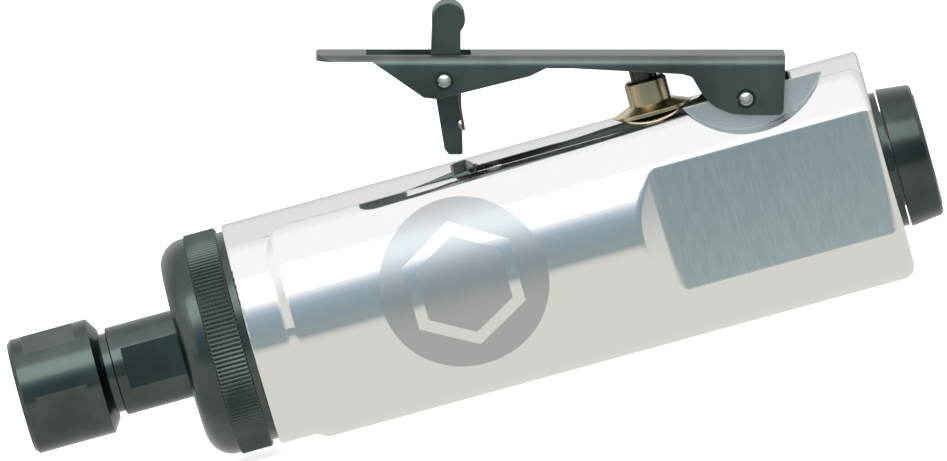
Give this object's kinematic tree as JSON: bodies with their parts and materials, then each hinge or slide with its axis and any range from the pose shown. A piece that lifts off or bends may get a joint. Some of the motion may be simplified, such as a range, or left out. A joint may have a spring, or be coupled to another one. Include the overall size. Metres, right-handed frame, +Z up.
{
  "type": "die grinder",
  "caption": "Straight pneumatic die grinder with a polished body, collet nose, throttle lever with lock-off, and a rear air inlet",
  "frame": {"origin": "centre of the collet's mouth, on the spindle axis", "axes": "X runs along the spindle from the collet mouth to the air inlet, Z is up towards the throttle lever, Y is sideways"},
  "size_m": [0.163, 0.0414, 0.0677],
  "materials": {
    "polished_aluminium": "mirror-polished cast aluminium, brushed on the side flats",
    "black_oxide": "black oxide on steel, satin to gloss",
    "collet_steel": "ground steel",
    "cage_brass": "pressed brass",
    "seal_rubber": "black nitrile rubber",
    "spring_steel": "spring steel",
    "cast_iron": "ground cast iron",
    "rotor_steel": "ground steel",
    "vane_composite": "fibre and resin sheet",
    "valve_gold": "yellow zinc plate on steel",
    "muffler_felt": "wool felt",
    "lever_paint": "dark grey-green oxide on pressed steel",
    "exhaust_black": "satin black"
  },
  "bodies": {
    "body": {"housing": "polished_aluminium", "clamp_ring": "black_oxide", "dust_seal": "seal_rubber", "front_preload_washer": "spring_steel", "front_bearing_outer": "collet_steel", "front_end_plate": "cast_iron", "motor_cylinder": "cast_iron", "cylinder_dowels": "collet_steel", "rear_end_plate": "cast_iron", "rear_bearing_outer": "collet_steel", "rear_washer": "spring_steel", "air_feed_tube": "valve_gold", "valve_cap": "valve_gold", "valve_seat": "valve_gold", "valve_spring": "spring_steel", "stem_o_ring": "seal_rubber", "seat_o_ring": "seal_rubber", "inlet_bushing": "collet_steel", "inlet_screen": "valve_gold", "exhaust_muffler": "muffler_felt", "exhaust_collar": "exhaust_black", "pivot_pin": "spring_steel"},
    "spindle": {"spindle": "black_oxide", "rotor": "rotor_steel", "rotor_key": "collet_steel", "vane_1": "vane_composite", "vane_2": "vane_composite", "vane_3": "vane_composite", "vane_4": "vane_composite", "vane_5": "vane_composite", "front_bearing_inner": "collet_steel", "rear_bearing_inner": "collet_steel"},
    "front_bearing_set": {"front_bearing_balls": "collet_steel", "front_bearing_cage": "cage_brass"},
    "rear_bearing_set": {"rear_bearing_balls": "collet_steel", "rear_bearing_cage": "cage_brass"},
    "collet": {"collet": "collet_steel"},
    "collet_nut": {"collet_nut": "black_oxide"},
    "throttle_lever": {"throttle_lever": "lever_paint", "lock_pin": "spring_steel"},
    "lock_lever": {"lock_lever": "lever_paint", "lock_spring": "spring_steel"},
    "valve_stem": {"valve_stem": "valve_gold", "valve_poppet": "seal_rubber"},
    "exhaust_deflector": {"exhaust_deflector": "exhaust_black"}
  },
  "joints": [
    {"name": "spindle_spin", "type": "hinge", "parent": "body", "child": "spindle", "pos_m": [0.05, 0, 0], "axis": [1, 0, 0], "continuous": true},
    {"name": "front_bearing_roll", "type": "hinge", "parent": "body", "child": "front_bearing_set", "pos_m": [0.0457, 0, 0], "axis": [1, 0, 0], "continuous": true},
    {"name": "rear_bearing_roll", "type": "hinge", "parent": "body", "child": "rear_bearing_set", "pos_m": [0.1, 0, 0], "axis": [1, 0, 0], "continuous": true},
    {"name": "collet_release", "type": "slide", "parent": "spindle", "child": "collet", "axis": [-1, 0, 0], "range_m": [0, 0.002]},
    {"name": "nut_turn", "type": "hinge", "parent": "collet", "child": "collet_nut", "pos_m": [0, 0, 0], "axis": [-1, 0, 0], "range_deg": [0, 720.5]},
    {"name": "lever_press", "type": "hinge", "parent": "body", "child": "throttle_lever", "pos_m": [0.1349, 0, 0.01745], "axis": [0, -1, 0], "range_deg": [0, 7], "stiffness_Nm_per_rad": 2, "springref_deg": -5.73},
    {"name": "lock_swing", "type": "hinge", "parent": "throttle_lever", "child": "lock_lever", "pos_m": [0.0854, 0, 0.03431], "axis": [0, -1, 0], "range_deg": [0, 81]},
    {"name": "valve_push", "type": "slide", "parent": "body", "child": "valve_stem", "axis": [0, 0, -1], "range_m": [0, 0.0022], "deforming": ["valve_spring"]},
    {"name": "deflector_turn", "type": "hinge", "parent": "body", "child": "exhaust_deflector", "pos_m": [0.1598, 0, 0], "axis": [1, 0, 0], "continuous": true}
  ],
  "couplings": [
    {"joint": "front_bearing_roll", "follows": "spindle_spin", "ratio": 0.38},
    {"joint": "rear_bearing_roll", "follows": "spindle_spin", "ratio": 0.362},
    {"joint": "nut_turn", "follows": "collet_release", "rad_per_m": 6283.2},
    {"joint": "lock_swing", "follows": "lever_press", "ratio": 11.42},
    {"joint": "valve_push", "follows": "lever_press", "m_per_rad": 0.0175}
  ]
}
